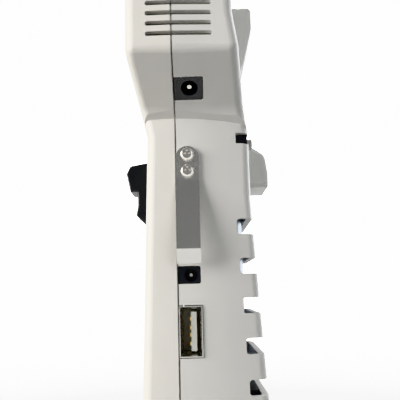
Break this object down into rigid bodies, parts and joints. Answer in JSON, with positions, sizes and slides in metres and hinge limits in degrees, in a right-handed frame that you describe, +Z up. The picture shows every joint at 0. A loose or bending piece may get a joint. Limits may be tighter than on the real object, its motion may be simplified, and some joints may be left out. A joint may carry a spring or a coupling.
{
  "type": "handheld lensmeter",
  "caption": "Upright handheld lensmeter: two-part casing with a screen, trigger, nosepiece, lens rest, overhanging light arm, side ports and a spring clip.",
  "frame": {"origin": "centre of the base, at the mouth of the tripod thread, where the rubber foot meets the surface it stands on", "axes": "+Z up along the handle to the head, +X towards the side with the nosepiece and light arm, -X towards the side with the screen and trigger, -Y the side with ports, clip and vents"},
  "size_m": [0.0759, 0.084, 0.205],
  "materials": {
    "arm_plastic": "fine satin texture, pale grey white",
    "baffle_grey": "matt mid grey",
    "black_alloy": "black anodised",
    "black_plastic": "satin black",
    "cast_alloy": "bead blasted casting",
    "cell_wrap": "laminated pouch film",
    "chip_black": "moulded epoxy",
    "circuit_board": "green solder mask",
    "clear_window": "tinted clear window",
    "contact_gold": "gold flash",
    "foot_rubber": "moulded rubber",
    "front_plastic": "fine satin texture, pale grey white",
    "gloss_black": "glossy black",
    "grey_key": "satin blue grey",
    "insert_brass": "turned brass",
    "insulator_white": "white nylon",
    "jack_black": "semi gloss black",
    "lcd_glass": "dark panel",
    "mirror_glass": "front surface mirror",
    "nickel_shell": "nickel plated sheet",
    "optical_glass": "coated optical glass",
    "rear_plastic": "fine satin texture, warm white",
    "spring_steel": "polished spring steel",
    "tab_grey": "satin light grey",
    "white_plastic": "smooth satin, white",
    "zinc_steel": "bright zinc plate"
  },
  "bodies": {
    "housing": {"arm_bracket": "zinc_steel", "arm_screws": "zinc_steel", "arm_shell_left": "arm_plastic", "arm_shell_right": "arm_plastic", "arm_window": "optical_glass", "base_foot": "foot_rubber", "battery_cradle": "black_plastic", "battery_pack": "cell_wrap", "belt_clip": "spring_steel", "buzzer": "chip_black", "case_inserts": "insert_brass", "case_screws": "zinc_steel", "clip_screws": "zinc_steel", "collimator_barrel": "black_alloy", "collimator_lens": "optical_glass", "display_window": "clear_window", "field_lens": "optical_glass", "fold_mirror": "mirror_glass", "front_shell": "front_plastic", "hartmann_plate": "black_alloy", "image_sensor": "chip_black", "key_switches": "chip_black", "lcd_frame": "zinc_steel", "lcd_panel": "lcd_glass", "led_board": "circuit_board", "led_emitter": "optical_glass", "lens_cell": "black_alloy", "lens_rest": "white_plastic", "lower_jack": "jack_black", "lower_jack_pin": "nickel_shell", "main_board": "circuit_board", "nose_collar": "black_alloy", "nosepiece": "black_plastic", "optical_bench": "cast_alloy", "power_board": "circuit_board", "processor_chips": "chip_black", "rear_shell": "rear_plastic", "rest_screws": "zinc_steel", "sensor_board": "circuit_board", "slide_switch": "chip_black", "slider_guide": "gloss_black", "trigger_pin": "zinc_steel", "trigger_spring": "spring_steel", "trigger_switch": "chip_black", "tripod_socket": "insert_brass", "upper_jack": "jack_black", "upper_jack_pin": "nickel_shell", "usb_contacts": "contact_gold", "usb_shell": "nickel_shell", "usb_tongue": "insulator_white", "vent_baffle_left": "baffle_grey", "vent_baffle_right": "baffle_grey"},
    "trigger": {"trigger": "black_plastic"},
    "switch_plunger": {"switch_plunger": "insulator_white"},
    "key_left": {"key_left": "grey_key"},
    "key_middle": {"key_middle": "grey_key"},
    "key_right": {"key_right": "grey_key"},
    "power_slider": {"power_slider": "tab_grey"}
  },
  "joints": [
    {"name": "trigger_hinge", "type": "hinge", "parent": "housing", "child": "trigger", "pos_m": [-0.0125, 0, 0.0808], "axis": [0, 1, 0], "range_deg": [0, 5], "stiffness_Nm_per_rad": 0.3, "springref_deg": -3.44},
    {"name": "plunger_slide", "type": "slide", "parent": "housing", "child": "switch_plunger", "axis": [1, 0, 0], "range_m": [0, 0.0013]},
    {"name": "key_left_press", "type": "slide", "parent": "housing", "child": "key_left", "axis": [1, 0, 0], "range_m": [0, 0.0008], "stiffness_N_per_m": 600, "springref_m": -0.0003},
    {"name": "key_middle_press", "type": "slide", "parent": "housing", "child": "key_middle", "axis": [1, 0, 0], "range_m": [0, 0.0008], "stiffness_N_per_m": 600, "springref_m": -0.0003},
    {"name": "key_right_press", "type": "slide", "parent": "housing", "child": "key_right", "axis": [1, 0, 0], "range_m": [0, 0.0008], "stiffness_N_per_m": 600, "springref_m": -0.0003},
    {"name": "power_slide", "type": "slide", "parent": "housing", "child": "power_slider", "axis": [0, -1, 0], "range_m": [0, 0.0025]}
  ],
  "couplings": [
    {"joint": "plunger_slide", "follows": "trigger_hinge", "m_per_rad": 0.0132}
  ]
}
